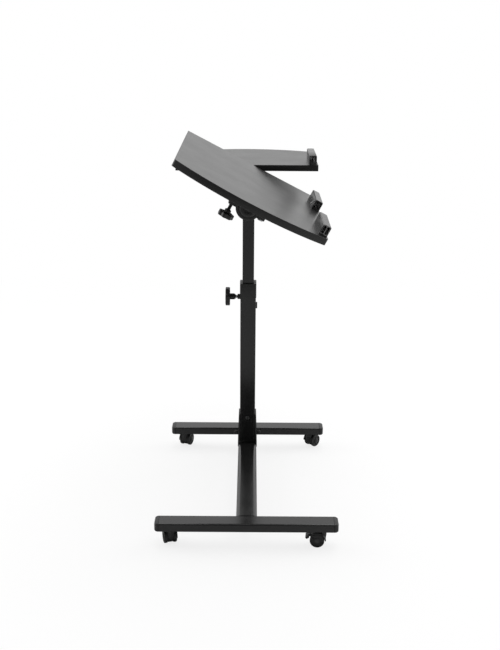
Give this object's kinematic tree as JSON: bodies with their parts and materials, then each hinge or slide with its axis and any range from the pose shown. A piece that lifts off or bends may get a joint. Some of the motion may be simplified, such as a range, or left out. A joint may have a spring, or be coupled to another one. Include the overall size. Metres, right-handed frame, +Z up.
{
  "type": "rolling laptop table",
  "caption": "Rolling laptop table: clamped telescopic column on a caster base, a top panel that tilts about a beam, and a fixed side panel.",
  "frame": {"origin": "on the floor, under the centre of the table's overall box", "axes": "+Z up; +X along the foot rails, towards the stops on the top; +Y along the top, from the tilting panel to the fixed panel; the picture looks along +Y"},
  "size_m": [0.4, 0.801, 0.8344],
  "materials": {
    "powder_coat": "black semi-gloss powder coat on thin-walled steel tube",
    "black_bolts": "black oxide bolt heads and nuts",
    "zinc_steel": "bright zinc-plated screws, studs, pins and nuts",
    "board_top": "satin black melamine foil on fibreboard, with a very fine grain",
    "board_edge": "black edge strip, satin",
    "stop_plastic": "glossy black extruded plastic ledge",
    "moulded_plastic": "black moulded nylon, finely textured",
    "wheel_plastic": "black nylon wheels, slightly worn treads"
  },
  "bodies": {
    "base": {"near_rail": "powder_coat", "far_rail": "powder_coat", "rail_end_caps": "moulded_plastic", "cross_tube": "powder_coat", "cross_tube_end_plates": "powder_coat", "rail_bolts": "black_bolts", "foot_bracket": "powder_coat", "lower_column": "powder_coat", "foot_bolt": "black_bolts", "foot_nut": "zinc_steel", "column_collar": "moulded_plastic", "clamp_nut": "black_bolts", "caster_stems": "zinc_steel", "caster_nuts": "zinc_steel"},
    "height_knob": {"height_knob": "moulded_plastic", "height_knob_stud": "zinc_steel"},
    "mast": {"upper_column": "powder_coat", "upper_column_guide": "moulded_plastic", "beam": "powder_coat", "beam_end_plugs": "moulded_plastic", "side_panel": "board_top", "side_panel_edging": "board_edge", "side_saddles": "moulded_plastic", "side_saddle_bolts": "zinc_steel", "side_saddle_screws": "zinc_steel", "side_stop": "stop_plastic", "side_stop_screws": "zinc_steel"},
    "main_top": {"main_panel": "board_top", "main_panel_edging": "board_edge", "clamp_bracket": "moulded_plastic", "clamp_bracket_cap": "moulded_plastic", "clamp_ear_bolt": "zinc_steel", "bearing_bracket": "moulded_plastic", "bearing_bracket_cap": "moulded_plastic", "bearing_ear_bolts": "zinc_steel", "bracket_bushes": "moulded_plastic", "bracket_screws": "zinc_steel", "main_stops": "stop_plastic", "main_stop_screws": "zinc_steel"},
    "tilt_knob": {"tilt_knob": "moulded_plastic", "tilt_knob_stud": "zinc_steel"},
    "near_left_caster": {"near_left_hood": "moulded_plastic", "near_left_axle": "zinc_steel"},
    "near_left_wheel_a": {"near_left_wheel_a": "wheel_plastic"},
    "near_left_wheel_b": {"near_left_wheel_b": "wheel_plastic"},
    "near_left_pedal": {"near_left_pedal": "moulded_plastic"},
    "near_right_caster": {"near_right_hood": "moulded_plastic", "near_right_axle": "zinc_steel"},
    "near_right_wheel_a": {"near_right_wheel_a": "wheel_plastic"},
    "near_right_wheel_b": {"near_right_wheel_b": "wheel_plastic"},
    "near_right_pedal": {"near_right_pedal": "moulded_plastic"},
    "far_left_caster": {"far_left_hood": "moulded_plastic", "far_left_axle": "zinc_steel"},
    "far_left_wheel_a": {"far_left_wheel_a": "wheel_plastic"},
    "far_left_wheel_b": {"far_left_wheel_b": "wheel_plastic"},
    "far_right_caster": {"far_right_hood": "moulded_plastic", "far_right_axle": "zinc_steel"},
    "far_right_wheel_a": {"far_right_wheel_a": "wheel_plastic"},
    "far_right_wheel_b": {"far_right_wheel_b": "wheel_plastic"}
  },
  "joints": [
    {"name": "mast_slide", "type": "slide", "parent": "base", "child": "mast", "axis": [0, 0, 1], "range_m": [-0.155, 0.078]},
    {"name": "height_knob_turn", "type": "hinge", "parent": "base", "child": "height_knob", "pos_m": [-0.0305, 0.0395, 0.443], "axis": [1, 0, 0], "range_deg": [-720, 0]},
    {"name": "panel_tilt", "type": "hinge", "parent": "mast", "child": "main_top", "pos_m": [0, 0.0395, 0.705], "axis": [0, -1, 0], "range_deg": [-62.5, 117.5]},
    {"name": "tilt_knob_turn", "type": "hinge", "parent": "main_top", "child": "tilt_knob", "pos_m": [-0.04348, -0.1545, 0.69945], "axis": [0.4617, 0, 0.887], "range_deg": [-540, 0]},
    {"name": "near_left_swivel", "type": "hinge", "parent": "base", "child": "near_left_caster", "pos_m": [-0.166, -0.3805, 0], "axis": [0, 0, 1], "continuous": true},
    {"name": "near_left_roll_a", "type": "hinge", "parent": "near_left_caster", "child": "near_left_wheel_a", "pos_m": [-0.16885, -0.36988, 0.016], "axis": [0.9659, 0.2588, 0], "continuous": true},
    {"name": "near_left_roll_b", "type": "hinge", "parent": "near_left_caster", "child": "near_left_wheel_b", "pos_m": [-0.16885, -0.36988, 0.016], "axis": [0.9659, 0.2588, 0], "continuous": true},
    {"name": "near_left_brake", "type": "hinge", "parent": "near_left_caster", "child": "near_left_pedal", "pos_m": [-0.17247, -0.35635, 0.027], "axis": [0.9659, 0.2588, 0], "range_deg": [-17, 0]},
    {"name": "near_right_swivel", "type": "hinge", "parent": "base", "child": "near_right_caster", "pos_m": [0.166, -0.3805, 0], "axis": [0, 0, 1], "continuous": true},
    {"name": "near_right_roll_a", "type": "hinge", "parent": "near_right_caster", "child": "near_right_wheel_a", "pos_m": [0.15506, -0.37935, 0.016], "axis": [0.1045, 0.9945, 0], "continuous": true},
    {"name": "near_right_roll_b", "type": "hinge", "parent": "near_right_caster", "child": "near_right_wheel_b", "pos_m": [0.15506, -0.37935, 0.016], "axis": [0.1045, 0.9945, 0], "continuous": true},
    {"name": "near_right_brake", "type": "hinge", "parent": "near_right_caster", "child": "near_right_pedal", "pos_m": [0.14114, -0.37789, 0.027], "axis": [0.1045, 0.9945, 0], "range_deg": [-17, 0]},
    {"name": "far_left_swivel", "type": "hinge", "parent": "base", "child": "far_left_caster", "pos_m": [-0.166, 0.1295, 0], "axis": [0, 0, 1], "continuous": true},
    {"name": "far_left_roll_a", "type": "hinge", "parent": "far_left_caster", "child": "far_left_wheel_a", "pos_m": [-0.16224, 0.13984, 0.016], "axis": [0.9397, -0.342, 0], "continuous": true},
    {"name": "far_left_roll_b", "type": "hinge", "parent": "far_left_caster", "child": "far_left_wheel_b", "pos_m": [-0.16224, 0.13984, 0.016], "axis": [0.9397, -0.342, 0], "continuous": true},
    {"name": "far_right_swivel", "type": "hinge", "parent": "base", "child": "far_right_caster", "pos_m": [0.166, 0.1295, 0], "axis": [0, 0, 1], "continuous": true},
    {"name": "far_right_roll_a", "type": "hinge", "parent": "far_right_caster", "child": "far_right_wheel_a", "pos_m": [0.17336, 0.13767, 0.016], "axis": [0.7431, -0.6691, 0], "continuous": true},
    {"name": "far_right_roll_b", "type": "hinge", "parent": "far_right_caster", "child": "far_right_wheel_b", "pos_m": [0.17336, 0.13767, 0.016], "axis": [0.7431, -0.6691, 0], "continuous": true}
  ]
}
